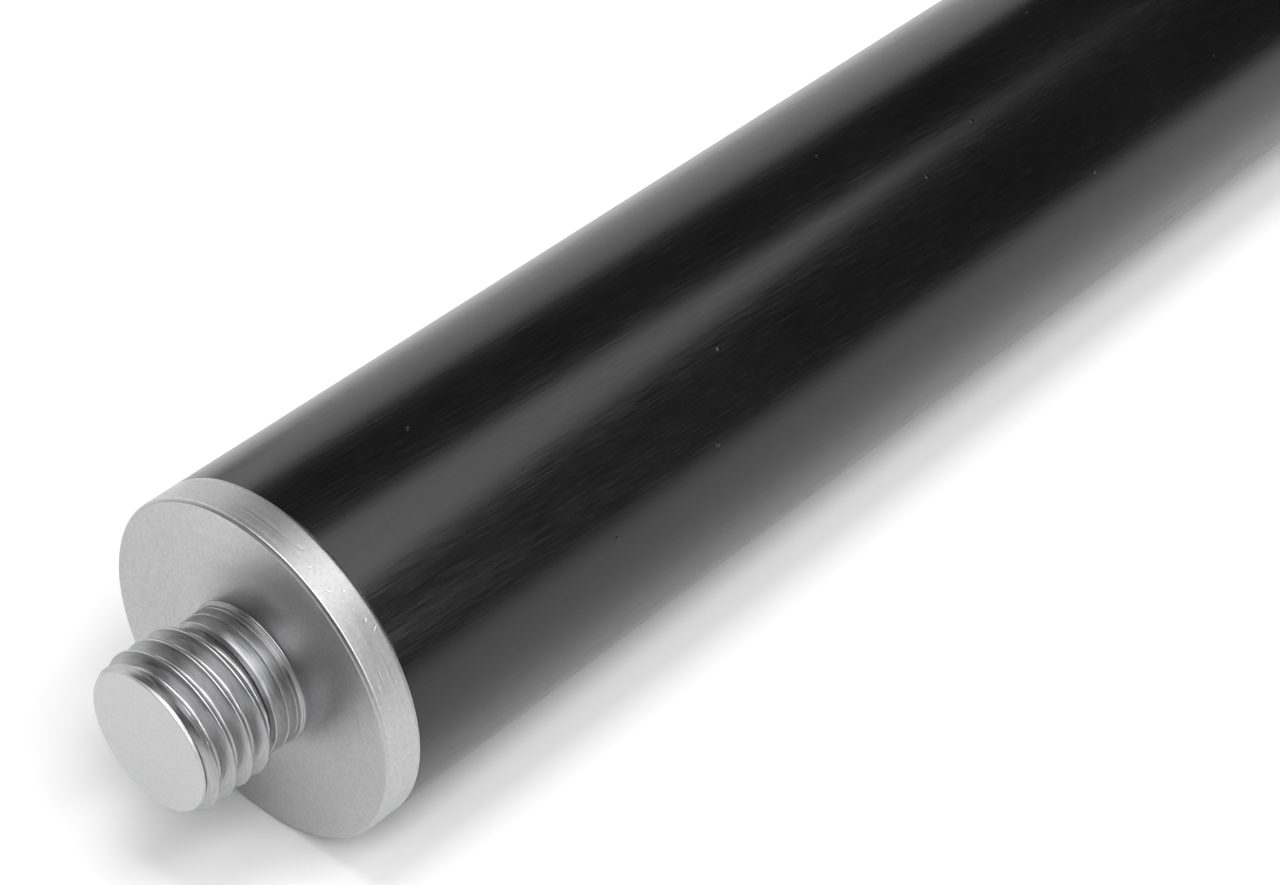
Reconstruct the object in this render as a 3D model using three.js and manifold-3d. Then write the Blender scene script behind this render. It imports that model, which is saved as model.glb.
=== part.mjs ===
// A ball screw assembly: a thrust tube with a threaded stud at one end is driven along a 16 x 5 ball screw,
// which turns in a flanged bearing unit at the other end. Millimetres, +Z up. The screw axis is the X axis.
// The origin is the centre of the stud's end face, and +X runs from the stud to the drive journal.
import * as THREE from 'three';
import { mergeVertices } from 'three/addons/utils/BufferGeometryUtils.js';
import Module from 'manifold-3d';

const wasm = await Module();
wasm.setup();

// ---- Driving dimensions ----

const GAP = 0.3; // between pieces that touch on the real assembly

const TUBE_RADIUS = 22.5;
const TUBE_BORE = 14.3;
const TUBE_LENGTH = 245;

const STUD_LENGTH = 15.3;
const STUD_RADIUS = 10; // M20
const STUD_PITCH = 2.5;
const STUD_NECK_RADIUS = 9;
const STUD_NECK_LENGTH = 3.4;
const SHOULDER_THICKNESS = 5;
const SHOULDER_CHAMFER = 0.5;
const SPIGOT_LENGTH = 18;
const O_RING_THICKNESS = 2;

const SCREW_RADIUS = 8;
const SCREW_LEAD = 5;
const GROOVE_RADIUS = 6.2; // at the bottom of the ball groove
const GROOVE_HALF_WIDTH = 1.95; // at the screw's surface
const BALL_RADIUS = 1.5875;
const BALL_CENTRE = 8.1; // distance of the ball centres from the axis
const THREAD_LENGTH = 195;
const TIP_JOURNAL_RADIUS = 5;
const TIP_JOURNAL_LENGTH = 10.4;
const BEARING_SEAT_RADIUS = 6;
const DRIVE_JOURNAL_RADIUS = 5;
const DRIVE_JOURNAL_LENGTH = 25;

const NUT_RADIUS = 14;
const NUT_BORE = 8.3;
const NUT_BODY_LENGTH = 32;
const NUT_FLANGE_THICKNESS = 10;
const NUT_FLANGE_RADIUS = 24;
const NUT_FLANGE_HALF_HEIGHT = 20; // the flange has a flat above and below
const NUT_SCREW_CIRCLE = 18.5;
const NUT_SCREW_ANGLES = [-45, 0, 45, 135, 180, 225]; // degrees from +Y, clear of the flats
const WIPER_RADIUS = 10.4;
const WIPER_LENGTH = 3.4;
const CIRCUITS = 3;

const EXPOSED_SCREW = 55.2; // between the nut and the travel stop, at rest
const STOP_LENGTH = 6; // longer than the nut screws' heads
const STOP_BORE = 10;
const STOP_RADIUS = 14.5; // clear of the nut screws' heads

const HOUSING_PILOT_RADIUS = 20;
const HOUSING_PILOT_LENGTH = 17;
const HOUSING_FLANGE_RADIUS = 30;
const HOUSING_FLANGE_THICKNESS = 10;
const HOUSING_HALF_HEIGHT = 22; // the housing flange has a flat above and below
const HOUSING_BOLT_CIRCLE = 25;
const HOUSING_BOLT_RADIUS = 2.75;
const HOUSING_BOLT_ANGLES = [45, 135, 225, 315];
const SEAL_RADIUS = 12;
const BEARING_RADIUS = 14;
const BEARING_WIDTH = 8;
const BEARING_BALL_RADIUS = 2.3;
const BEARING_BALL_CENTRE = 10;
const BEARING_BALLS = 9;
const COLLAR_RADIUS = 9.3;
const COVER_RADIUS = 21;
const COVER_THICKNESS = 4;
const COVER_SCREW_CIRCLE = 17.5;
const COVER_SCREW_ANGLES = [0, 90, 180, 270];
const LOCK_NUT_LENGTH = 8;
const LOCK_NUT_FLATS = 19; // across the flats

// ---- Places along X, worked out from the sizes ----

const SHOULDER_X = STUD_LENGTH;
const TUBE_X = SHOULDER_X + SHOULDER_THICKNESS;
const TUBE_END_X = TUBE_X + TUBE_LENGTH;
const FLANGE_X = TUBE_END_X + GAP;
const NUT_X = FLANGE_X - NUT_BODY_LENGTH;
const NUT_END_X = FLANGE_X + NUT_FLANGE_THICKNESS;
const STOP_X = NUT_END_X + EXPOSED_SCREW;
const HOUSING_X = STOP_X + STOP_LENGTH + 0.2;
const SEAT_START = 1.2; // the screw's shoulder, behind the housing's front face
const THREAD_X = HOUSING_X - 4 - THREAD_LENGTH;
const FRONT_BEARING = 6.8; // from the housing's front face
const REAR_BEARING = FRONT_BEARING + BEARING_WIDTH + 0.1;
const HOUSING_LENGTH = HOUSING_PILOT_LENGTH + HOUSING_FLANGE_THICKNESS;
const COVER_START = HOUSING_LENGTH + 0.2;
const LOCK_NUT_START = COVER_START + COVER_THICKNESS + 0.8;
const SEAT_END = LOCK_NUT_START + LOCK_NUT_LENGTH + 1;

// ---- Materials ----

function finish(color, roughness, metalness) {
  return new THREE.MeshStandardMaterial({ color, roughness, metalness });
}

const blackNitride = finish(0x16171a, 0.3, 0.3);
const turnedSteel = finish(0xb4b6b8, 0.32, 1);
const groundSteel = finish(0x9a9ca0, 0.22, 1);
const nutSteel = finish(0x6f7276, 0.34, 1);
const bearingSteel = finish(0xc4c6ca, 0.15, 1);
const housingSteel = finish(0x2b2d30, 0.45, 0.6);
const blackOxide = finish(0x26272a, 0.4, 0.7);
const brass = finish(0xb08d46, 0.3, 1);
const rubber = finish(0x121212, 0.75, 0);
const polyurethane = finish(0xa8431c, 0.5, 0);
const acetal = finish(0xe6e3da, 0.45, 0);

// ---- Geometry helpers ----

// Turns an outline of [x, radius] points about the X axis. The outline starts and ends on the axis, or is
// closed here.
function turned(outline, segments = 28) {
  const onAxis = outline[0][1] === 0;
  const points = onAxis ? outline : [...outline, outline[0]];
  const profile = points.map(([x, radius]) => new THREE.Vector2(radius, x));
  return new THREE.LatheGeometry(profile, segments).rotateZ(-Math.PI / 2);
}

function ring(length, inner, outer, segments) {
  return turned([[0, inner], [0, outer], [length, outer], [length, inner]], segments);
}

function rod(length, radius, segments = 12) {
  return turned([[0, 0], [0, radius], [length, radius], [length, 0]], segments);
}

// A box from x 0 to length, centred on Y and Z.
function block(length, width, height) {
  return new THREE.BoxGeometry(length, width, height).translate(length / 2, 0, 0);
}

function solidOf(geometry) {
  const bare = geometry.clone();
  bare.deleteAttribute('normal');
  bare.deleteAttribute('uv');
  const merged = mergeVertices(bare, 1e-4);
  return new wasm.Manifold(
    new wasm.Mesh({
      numProp: 3,
      vertProperties: new Float32Array(merged.attributes.position.array),
      triVerts: new Uint32Array(merged.index.array),
    }),
  );
}

function geometryOf(solid) {
  const mesh = solid.getMesh();
  return new THREE.BufferGeometry()
    .setAttribute('position', new THREE.BufferAttribute(mesh.vertProperties, 3))
    .setIndex(new THREE.BufferAttribute(mesh.triVerts, 1));
}

function joined(...geometries) {
  return geometryOf(geometries.map(solidOf).reduce((whole, piece) => whole.add(piece)));
}

function cut(geometry, ...tools) {
  return geometryOf(tools.map(solidOf).reduce((whole, tool) => whole.subtract(tool), solidOf(geometry)));
}

// A copy moved out along a radius of the X axis: degrees are measured from +Y towards +Z.
function onCircle(geometry, x, radius, degrees) {
  const angle = THREE.MathUtils.degToRad(degrees);
  return geometry.clone().translate(x, radius * Math.cos(angle), radius * Math.sin(angle));
}

// A bar with a right-hand thread. The outline of one pitch is a list of
// [x, radius] that starts at x 0.
// The rows of a cylinder follow the helix, and are held between the two ends, where the radius is
// endRadius.
function threadedBar(length, lead, outline, endRadius, segments) {
  const rows = (Math.ceil(length / lead) + 1) * outline.length;
  const geometry = new THREE.CylinderGeometry(1, 1, 2, segments, rows);
  const position = geometry.attributes.position;
  const sideVertices = (rows + 1) * (segments + 1);
  for (let i = 0; i < position.count; i += 1) {
    const onRim = Math.hypot(position.getX(i), position.getZ(i)) > 0.5;
    let x = position.getY(i) > 0 ? length : 0;
    let radius = onRim ? endRadius : 0;
    if (i < sideVertices) {
      const row = rows - Math.floor(i / (segments + 1));
      const column = i % (segments + 1);
      const [offset, outlineRadius] = outline[row % outline.length];
      const turn = Math.floor(row / outline.length) - 1 + column / segments;
      const place = turn * lead + offset;
      x = THREE.MathUtils.clamp(place, 0, length);
      radius = place > 0 && place < length ? outlineRadius : endRadius;
    }
    position.setXYZ(i, position.getX(i) * radius, x, position.getZ(i) * radius);
  }
  return geometry.rotateZ(-Math.PI / 2);
}

// Beads strung on a thin link, along a closed path: path(t) gives the point for t from 0 to 1.
function beadChain(path, beads, beadRadius, sides) {
  const shape = [[-0.9, 0.3], [0, 0.97], [0.9, 0.3]]; // in bead radii: along the link, and out from it
  const pathLength = pathLengthOf(path);
  const rows = beads * shape.length;
  const geometry = new THREE.CylinderGeometry(1, 1, 2, sides, rows, true);
  const position = geometry.attributes.position;
  for (let i = 0; i < position.count; i += 1) {
    const row = Math.floor(i / (sides + 1));
    const [along, width] = shape[row % shape.length];
    const bead = Math.floor(row / shape.length) % beads;
    const t = bead / beads + (along * beadRadius) / pathLength;
    const centre = path(t);
    const tangent = path(t + 1e-4).sub(path(t - 1e-4)).normalize();
    const across = new THREE.Vector3(1, 0, 0).cross(tangent).normalize();
    const out = across.clone().cross(tangent);
    const spin = Math.atan2(position.getX(i), position.getZ(i));
    const offset = across.multiplyScalar(Math.cos(spin)).addScaledVector(out, Math.sin(spin));
    centre.addScaledVector(offset, width * beadRadius);
    position.setXYZ(i, centre.x, centre.y, centre.z);
  }
  return geometry;
}

function pathLengthOf(path) {
  const steps = 200;
  let length = 0;
  for (let i = 0; i < steps; i += 1) length += path(i / steps).distanceTo(path((i + 1) / steps));
  return length;
}

// A hexagon socket cap screw, its head's seat at x 0, its shank along +X and its head along -X.
function capScrew(threadRadius, shankLength) {
  const headRadius = threadRadius * 1.75;
  const headHeight = threadRadius * 2;
  const bevel = threadRadius * 0.2;
  const body = turned(
    [
      [-headHeight, 0],
      [-headHeight, headRadius - bevel],
      [bevel - headHeight, headRadius],
      [0, headRadius],
      [0, threadRadius],
      [shankLength, threadRadius],
      [shankLength, 0],
    ],
    10,
  );
  return cut(body, rod(threadRadius * 1.1, threadRadius * 0.87, 6).translate(-headHeight - 0.1, 0, 0));
}

// ---- The thrust tube and its end plug ----

function thrustTube() {
  const bevel = 0.4;
  const tube = turned(
    [
      [0, TUBE_BORE],
      [0, TUBE_RADIUS - bevel],
      [bevel, TUBE_RADIUS],
      [TUBE_LENGTH - bevel, TUBE_RADIUS],
      [TUBE_LENGTH, TUBE_RADIUS - bevel],
      [TUBE_LENGTH, TUBE_BORE],
    ],
    48,
  );
  const hole = rod(15, 2 + GAP, 10);
  const holes = NUT_SCREW_ANGLES.map((angle) => onCircle(hole, TUBE_LENGTH - 14, NUT_SCREW_CIRCLE, angle));
  return cut(tube, ...holes);
}

const O_RING_GROOVE_X = SHOULDER_THICKNESS + 4; // from the shoulder face
const O_RING_GROOVE_WIDTH = O_RING_THICKNESS + 0.6;
const O_RING_BOTTOM = TUBE_BORE - O_RING_THICKNESS - 0.2;

function rodEndPlug() {
  const spigot = TUBE_BORE - GAP;
  const end = SHOULDER_THICKNESS + SPIGOT_LENGTH;
  const grooveEnd = O_RING_GROOVE_X + O_RING_GROOVE_WIDTH;
  const rim = TUBE_RADIUS - SHOULDER_CHAMFER;
  const plug = turned(
    [
      [-STUD_NECK_LENGTH - 1, 0],
      [-STUD_NECK_LENGTH - 1, STUD_NECK_RADIUS],
      [-0.5, STUD_NECK_RADIUS],
      [0, STUD_NECK_RADIUS + 0.5],
      [0, rim],
      [SHOULDER_CHAMFER, TUBE_RADIUS],
      [SHOULDER_THICKNESS - SHOULDER_CHAMFER, TUBE_RADIUS],
      [SHOULDER_THICKNESS - 0.05, rim],
      [SHOULDER_THICKNESS - 0.05, spigot],
      [O_RING_GROOVE_X, spigot],
      [O_RING_GROOVE_X, O_RING_BOTTOM],
      [grooveEnd, O_RING_BOTTOM],
      [grooveEnd, spigot],
      [end - 1, spigot],
      [end, spigot - 1],
      [end, 0],
    ],
    48,
  );
  const crest = STUD_PITCH / 8;
  const flank = 0.83;
  const root = STUD_RADIUS - 1.5;
  const outline = [
    [0, STUD_RADIUS],
    [crest, STUD_RADIUS],
    [crest + flank, root],
    [STUD_PITCH - flank, root],
  ];
  const threadLength = STUD_LENGTH - STUD_NECK_LENGTH;
  const thread = threadedBar(threadLength, STUD_PITCH, outline, root, 20);
  return joined(plug, thread.translate(-STUD_LENGTH, 0, 0));
}

// An O-ring with a six-sided section, from x 0.
function oRing(radius, thickness, segments) {
  const outline = [];
  const half = thickness / 2;
  for (let i = 0; i < 6; i += 1) {
    const angle = -(i * Math.PI) / 3;
    outline.push([half + half * Math.cos(angle), radius + half * Math.sin(angle)]);
  }
  return turned(outline, segments);
}

// ---- The ball nut ----

// The angle of a circuit's crossover, in degrees from +Z towards -Y, the way the helix climbs.
const crossoverAngle = (circuit) => circuit * 120;
const CROSSOVER_HALF = 38; // degrees
const TRACK_STEPS = 20; // around one circuit
const CROSSOVER_LIFT = 1.9; // the balls pass over the screw's land by this much

// The x, from the thread's start, where the groove's centre passes the given angle nearest to x.
function grooveNear(x, degrees) {
  const phase = GROOVE_HALF_WIDTH + (SCREW_LEAD * degrees) / 360;
  return phase + SCREW_LEAD * Math.round((x - phase) / SCREW_LEAD);
}

// One turn of the groove closed by a crossover, as a path of t from 0 to 1, in the nut's own frame.
function circuitPath(circuit) {
  const start = crossoverAngle(circuit);
  const wanted = NUT_X + 9.5 + circuit * (SCREW_LEAD + 1.6) - THREAD_X;
  const middle = grooveNear(wanted, start + 180) + THREAD_X - NUT_X;
  return (t) => {
    const turn = THREE.MathUtils.euclideanModulo(t, 1) * 360; // degrees past the crossover's middle
    const toCrossover = Math.min(turn, 360 - turn);
    const side = turn < 180 ? -1 : 1;
    const bend = Math.min(toCrossover / CROSSOVER_HALF, 1);
    const ease = bend * bend * (3 - 2 * bend);
    const helix = (SCREW_LEAD * Math.max(180 - toCrossover, 180 - CROSSOVER_HALF)) / 360;
    const x = middle + side * (bend < 1 ? helix * ease : (SCREW_LEAD * (180 - toCrossover)) / 360);
    const radius = BALL_CENTRE + CROSSOVER_LIFT * (1 - ease * ease); // lifts out before it moves across
    const angle = THREE.MathUtils.degToRad(start + turn);
    return new THREE.Vector3(x, -radius * Math.sin(angle), radius * Math.cos(angle));
  };
}

function ballTrack(circuit) {
  const path = circuitPath(circuit);
  const points = [];
  for (let i = 0; i < TRACK_STEPS; i += 1) points.push(path(i / TRACK_STEPS));
  const curve = new THREE.CatmullRomCurve3(points, true);
  const section = new THREE.Shape().absarc(0, 0, BALL_RADIUS + GAP, 0, Math.PI * 2);
  return new THREE.ExtrudeGeometry(section, { steps: TRACK_STEPS, curveSegments: 3, extrudePath: curve });
}

function deflectorPlace(circuit) {
  return circuitPath(circuit)(0);
}

// A round insert standing on the nut's radius, from the inner to the outer radius.
function radialPin(place, pinRadius, inner, outer, segments) {
  const angle = Math.atan2(place.z, place.y);
  return rod(outer - inner, pinRadius, segments)
    .rotateZ(Math.PI / 2)
    .translate(0, inner, 0)
    .rotateX(angle)
    .translate(place.x, 0, 0);
}

const DEFLECTOR_RADIUS = 3;
const DEFLECTOR_INNER = BALL_CENTRE + CROSSOVER_LIFT + BALL_RADIUS + 0.4;

function ballNut() {
  const end = NUT_BODY_LENGTH + NUT_FLANGE_THICKNESS;
  const recess = WIPER_LENGTH + GAP;
  const body = turned([
    [0, WIPER_RADIUS + GAP],
    [0, NUT_RADIUS - 0.6],
    [0.6, NUT_RADIUS],
    [NUT_BODY_LENGTH, NUT_RADIUS],
    [NUT_BODY_LENGTH, NUT_FLANGE_RADIUS - 0.5],
    [NUT_BODY_LENGTH + 0.5, NUT_FLANGE_RADIUS],
    [end - 0.5, NUT_FLANGE_RADIUS],
    [end, NUT_FLANGE_RADIUS - 0.5],
    [end, WIPER_RADIUS + GAP],
    [end - recess, WIPER_RADIUS + GAP],
    [end - recess, NUT_BORE],
    [recess, NUT_BORE],
    [recess, WIPER_RADIUS + GAP],
  ]);
  const flats = [1, -1].map((side) =>
    block(end, 2 * NUT_FLANGE_RADIUS, 10).translate(0, 0, side * (NUT_FLANGE_HALF_HEIGHT + 5)),
  );
  const hole = rod(NUT_FLANGE_THICKNESS + 1, 2.25, 10);
  const holeX = NUT_BODY_LENGTH - 0.5;
  const holes = NUT_SCREW_ANGLES.map((angle) => onCircle(hole, holeX, NUT_SCREW_CIRCLE, angle));
  const greaseHole = rod(10, 3 + GAP, 10)
    .rotateY(-Math.PI / 2)
    .translate(NUT_BODY_LENGTH + NUT_FLANGE_THICKNESS / 2, 0, NUT_FLANGE_HALF_HEIGHT - 5);
  const tracks = [];
  const seats = [];
  for (let circuit = 0; circuit < CIRCUITS; circuit += 1) {
    tracks.push(ballTrack(circuit));
    const place = deflectorPlace(circuit);
    seats.push(radialPin(place, DEFLECTOR_RADIUS + GAP, DEFLECTOR_INNER - 0.2, NUT_RADIUS + 1, 14));
  }
  return cut(body, ...flats, ...holes, greaseHole, ...tracks, ...seats);
}

function ballDeflector(circuit) {
  const place = deflectorPlace(circuit);
  return radialPin(place, DEFLECTOR_RADIUS, DEFLECTOR_INNER, NUT_RADIUS - 0.15, 14);
}

function ballCircuit(circuit) {
  return beadChain(circuitPath(circuit), 12, BALL_RADIUS, 6);
}

function nutWiper() {
  return turned(
    [
      [0, NUT_BORE],
      [0, WIPER_RADIUS],
      [WIPER_LENGTH, WIPER_RADIUS],
      [WIPER_LENGTH, NUT_BORE + 0.6],
      [WIPER_LENGTH - 1.2, NUT_BORE],
    ],
    20,
  );
}

// A grease nipple: a threaded shank, a hexagon and a ball-shaped head, standing on x 0 along +X.
function greaseNipple() {
  const shank = rod(4.4, 3, 12).translate(-4, 0, 0);
  const hexagon = rod(2.6, 4, 6);
  const head = turned(
    [
      [2, 0],
      [2, 2.2],
      [4.2, 2.2],
      [4.8, 1.5],
      [5.4, 2.1],
      [6.4, 2.1],
      [7, 1.4],
      [7, 0],
    ],
    12,
  );
  return joined(shank, hexagon, head);
}

// ---- The ball screw and what turns with it ----

const KEY_WIDTH = 3;
const KEY_LENGTH = 16;
const KEY_DEPTH = 1.8; // into the journal

function keyOutline(width, length) {
  const half = width / 2;
  return new THREE.Shape()
    .absarc(length - half, 0, half, -Math.PI / 2, Math.PI / 2)
    .absarc(half, 0, half, Math.PI / 2, (3 * Math.PI) / 2);
}

function keySolid(width, length, height) {
  return new THREE.ExtrudeGeometry(keyOutline(width, length), {
    depth: height,
    bevelEnabled: false,
    curveSegments: 5,
  });
}

const SEAT_X = HOUSING_X + SEAT_START - THREAD_X; // the bearing shoulder, from the thread's start
const DRIVE_X = HOUSING_X + SEAT_END - THREAD_X; // the drive journal's start, from the thread's start
const KEY_X = DRIVE_X + 5;

function ballScrew() {
  const outline = [
    [0, SCREW_RADIUS],
    [GROOVE_HALF_WIDTH - 1, GROOVE_RADIUS],
    [GROOVE_HALF_WIDTH + 1, GROOVE_RADIUS],
    [2 * GROOVE_HALF_WIDTH, SCREW_RADIUS],
  ];
  const thread = threadedBar(THREAD_LENGTH, SCREW_LEAD, outline, GROOVE_RADIUS, 12);
  const bevel = 0.5;
  const shaft = turned(
    [
      [-TIP_JOURNAL_LENGTH, 0],
      [-TIP_JOURNAL_LENGTH, TIP_JOURNAL_RADIUS - bevel],
      [bevel - TIP_JOURNAL_LENGTH, TIP_JOURNAL_RADIUS],
      [THREAD_LENGTH - 1, TIP_JOURNAL_RADIUS],
      [THREAD_LENGTH - 1, SCREW_RADIUS],
      [SEAT_X, SCREW_RADIUS],
      [SEAT_X, BEARING_SEAT_RADIUS],
      [DRIVE_X, BEARING_SEAT_RADIUS],
      [DRIVE_X, DRIVE_JOURNAL_RADIUS],
      [DRIVE_X + DRIVE_JOURNAL_LENGTH - bevel, DRIVE_JOURNAL_RADIUS],
      [DRIVE_X + DRIVE_JOURNAL_LENGTH, DRIVE_JOURNAL_RADIUS - bevel],
      [DRIVE_X + DRIVE_JOURNAL_LENGTH, 0],
    ],
    24,
  );
  const keyway = keySolid(KEY_WIDTH, KEY_LENGTH, 4).translate(KEY_X, 0, DRIVE_JOURNAL_RADIUS - KEY_DEPTH);
  const tipHole = rod(15, 2.5 + GAP, 12).translate(-TIP_JOURNAL_LENGTH - 1, 0, 0);
  return cut(joined(thread, shaft), keyway, tipHole);
}

function driveKey() {
  const width = KEY_WIDTH - 0.2;
  const seat = DRIVE_JOURNAL_RADIUS - KEY_DEPTH + 0.1;
  return keySolid(width, KEY_LENGTH - 0.2, 3).translate(KEY_X + 0.1, 0, seat);
}

function tipGuideBush() {
  const length = TIP_JOURNAL_LENGTH - 0.8;
  return turned(
    [
      [0, TIP_JOURNAL_RADIUS + 0.2],
      [0, TUBE_BORE - GAP - 1],
      [1, TUBE_BORE - GAP],
      [length - 1, TUBE_BORE - GAP],
      [length, TUBE_BORE - GAP - 1],
      [length, TIP_JOURNAL_RADIUS + 0.2],
    ],
    24,
  );
}

function lockNut() {
  const corner = LOCK_NUT_FLATS / Math.sqrt(3);
  const half = LOCK_NUT_FLATS / 2;
  const hexagon = rod(LOCK_NUT_LENGTH, corner, 6);
  const rounded = turned(
    [
      [0, 0],
      [0, half],
      [0.9, corner],
      [LOCK_NUT_LENGTH - 0.9, corner],
      [LOCK_NUT_LENGTH, half],
      [LOCK_NUT_LENGTH, 0],
    ],
    24,
  );
  const body = geometryOf(solidOf(hexagon).intersect(solidOf(rounded)));
  const bore = rod(LOCK_NUT_LENGTH + 2, BEARING_SEAT_RADIUS + 0.2, 24).translate(-1, 0, 0);
  const holes = SET_SCREW_SIDES.map((side) => setScrewAt(side, 2.2, BEARING_SEAT_RADIUS - 1, half + 1));
  return cut(body, bore, ...holes);
}

const SET_SCREW_SIDES = [1, -1];

function setScrewAt(side, radius, inner, outer) {
  return radialPin(new THREE.Vector3(LOCK_NUT_LENGTH / 2, side, 0), radius, inner, outer, 10);
}

function setScrew(side) {
  const outer = LOCK_NUT_FLATS / 2 - 0.4;
  const body = setScrewAt(side, 2, BEARING_SEAT_RADIUS + 0.4, outer);
  const socket = radialPin(new THREE.Vector3(LOCK_NUT_LENGTH / 2, side, 0), 1.1, outer - 1.5, outer + 1, 6);
  return cut(body, socket);
}

// ---- The bearing unit ----

function bearingHousing() {
  const body = turned(
    [
      [0, SEAL_RADIUS + 0.2],
      [0, HOUSING_PILOT_RADIUS - 0.8],
      [0.8, HOUSING_PILOT_RADIUS],
      [HOUSING_PILOT_LENGTH, HOUSING_PILOT_RADIUS],
      [HOUSING_PILOT_LENGTH, HOUSING_FLANGE_RADIUS - 0.6],
      [HOUSING_PILOT_LENGTH + 0.6, HOUSING_FLANGE_RADIUS],
      [HOUSING_LENGTH - 0.6, HOUSING_FLANGE_RADIUS],
      [HOUSING_LENGTH, HOUSING_FLANGE_RADIUS - 0.6],
      [HOUSING_LENGTH, BEARING_RADIUS + 0.2],
      [FRONT_BEARING - 0.2, BEARING_RADIUS + 0.2],
      [FRONT_BEARING - 0.2, SEAL_RADIUS + 0.2],
    ],
    40,
  );
  const flats = [1, -1].map((side) =>
    block(HOUSING_LENGTH, 2 * HOUSING_FLANGE_RADIUS, 20).translate(0, 0, side * (HOUSING_HALF_HEIGHT + 10)),
  );
  const bolt = rod(HOUSING_FLANGE_THICKNESS + 2, HOUSING_BOLT_RADIUS, 14);
  const bolts = HOUSING_BOLT_ANGLES.map((angle) =>
    onCircle(bolt, HOUSING_PILOT_LENGTH - 1, HOUSING_BOLT_CIRCLE, angle),
  );
  const tapped = rod(9, 1.5 + GAP, 10);
  const taps = COVER_SCREW_ANGLES.map((angle) =>
    onCircle(tapped, HOUSING_LENGTH - 8, COVER_SCREW_CIRCLE, angle),
  );
  return cut(body, ...flats, ...bolts, ...taps);
}

function bearingCover() {
  const spigotStart = REAR_BEARING + BEARING_WIDTH + 0.2 - COVER_START;
  const body = turned(
    [
      [spigotStart, SEAL_RADIUS + 0.2],
      [spigotStart, BEARING_RADIUS - 0.1],
      [0, BEARING_RADIUS - 0.1],
      [0, COVER_RADIUS],
      [COVER_THICKNESS - 0.6, COVER_RADIUS],
      [COVER_THICKNESS, COVER_RADIUS - 0.6],
      [COVER_THICKNESS, COLLAR_RADIUS + 0.7],
      [COVER_THICKNESS - 1, COLLAR_RADIUS + 0.7],
      [COVER_THICKNESS - 1, SEAL_RADIUS + 0.2],
    ],
    32,
  );
  const hole = rod(COVER_THICKNESS + 2, 1.5 + GAP, 10);
  return cut(body, ...COVER_SCREW_ANGLES.map((angle) => onCircle(hole, -1, COVER_SCREW_CIRCLE, angle)));
}

// An angular contact bearing's rings: the ball groove is an arc, cut from the side where the rings face.
function outerRing() {
  const land = 11.9;
  return turned(
    [
      [0, land],
      [0, BEARING_RADIUS - 0.4],
      [0.4, BEARING_RADIUS],
      [BEARING_WIDTH - 0.4, BEARING_RADIUS],
      [BEARING_WIDTH, BEARING_RADIUS - 0.4],
      [BEARING_WIDTH, land + 0.6],
      [BEARING_WIDTH / 2 + 1.1, land + 0.7],
      [BEARING_WIDTH / 2 - 1.1, land + 0.7],
      [BEARING_WIDTH / 2 - 2, land],
    ],
    20,
  );
}

function innerRing() {
  const land = 8.2;
  const bore = BEARING_SEAT_RADIUS + 0.15;
  return turned(
    [
      [0, bore],
      [0, land],
      [BEARING_WIDTH / 2 - 2, land],
      [BEARING_WIDTH / 2 - 1.1, land - 0.8],
      [BEARING_WIDTH / 2 + 1.1, land - 0.8],
      [BEARING_WIDTH / 2 + 2, land],
      [BEARING_WIDTH, land],
      [BEARING_WIDTH, bore],
    ],
    20,
  );
}

function bearingBallSet() {
  const path = (t) => {
    const angle = t * 2 * Math.PI;
    const radius = BEARING_BALL_CENTRE;
    return new THREE.Vector3(BEARING_WIDTH / 2, -radius * Math.sin(angle), radius * Math.cos(angle));
  };
  return beadChain(path, BEARING_BALLS, BEARING_BALL_RADIUS, 6);
}

function oilSeal(length) {
  return turned(
    [
      [0, COLLAR_RADIUS + 1],
      [0, SEAL_RADIUS],
      [length, SEAL_RADIUS],
      [length, COLLAR_RADIUS + 0.9],
      [length / 2, COLLAR_RADIUS + 0.3],
    ],
    20,
  );
}

// ---- The assembly ----

function place(group, name, geometry, material, x = 0) {
  const mesh = new THREE.Mesh(geometry, material);
  mesh.name = name;
  mesh.position.x = x;
  group.add(mesh);
  return mesh;
}

// What slides: the tube, its end plug and the nut.
const thrust = new THREE.Group();
place(thrust, 'thrust_tube', thrustTube(), blackNitride, TUBE_X);
place(thrust, 'rod_end_plug', rodEndPlug(), turnedSteel, SHOULDER_X);
const oRingCentre = O_RING_BOTTOM + O_RING_THICKNESS / 2 + 0.1;
const oRingX = SHOULDER_X + O_RING_GROOVE_X + 0.3;
place(thrust, 'plug_o_ring', oRing(oRingCentre, O_RING_THICKNESS - 0.1, 24), rubber, oRingX);

const nut = new THREE.Group();
nut.position.x = NUT_X;
thrust.add(nut);
place(nut, 'ball_nut', ballNut(), nutSteel);
const NUT_LENGTH = NUT_BODY_LENGTH + NUT_FLANGE_THICKNESS;
place(nut, 'nut_wiper_front', nutWiper(), acetal, WIPER_LENGTH + 0.1).rotation.z = Math.PI;
place(nut, 'nut_wiper_rear', nutWiper(), acetal, NUT_LENGTH - WIPER_LENGTH - 0.1);
for (let circuit = 0; circuit < CIRCUITS; circuit += 1) {
  place(nut, `ball_circuit_${circuit + 1}`, ballCircuit(circuit), bearingSteel);
  place(nut, `ball_deflector_${circuit + 1}`, ballDeflector(circuit), nutSteel);
}
const nippleX = NUT_BODY_LENGTH + NUT_FLANGE_THICKNESS / 2;
const nipple = place(nut, 'nut_grease_nipple', greaseNipple(), brass, nippleX);
nipple.position.z = NUT_FLANGE_HALF_HEIGHT + GAP;
nipple.rotation.y = -Math.PI / 2;
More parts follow.
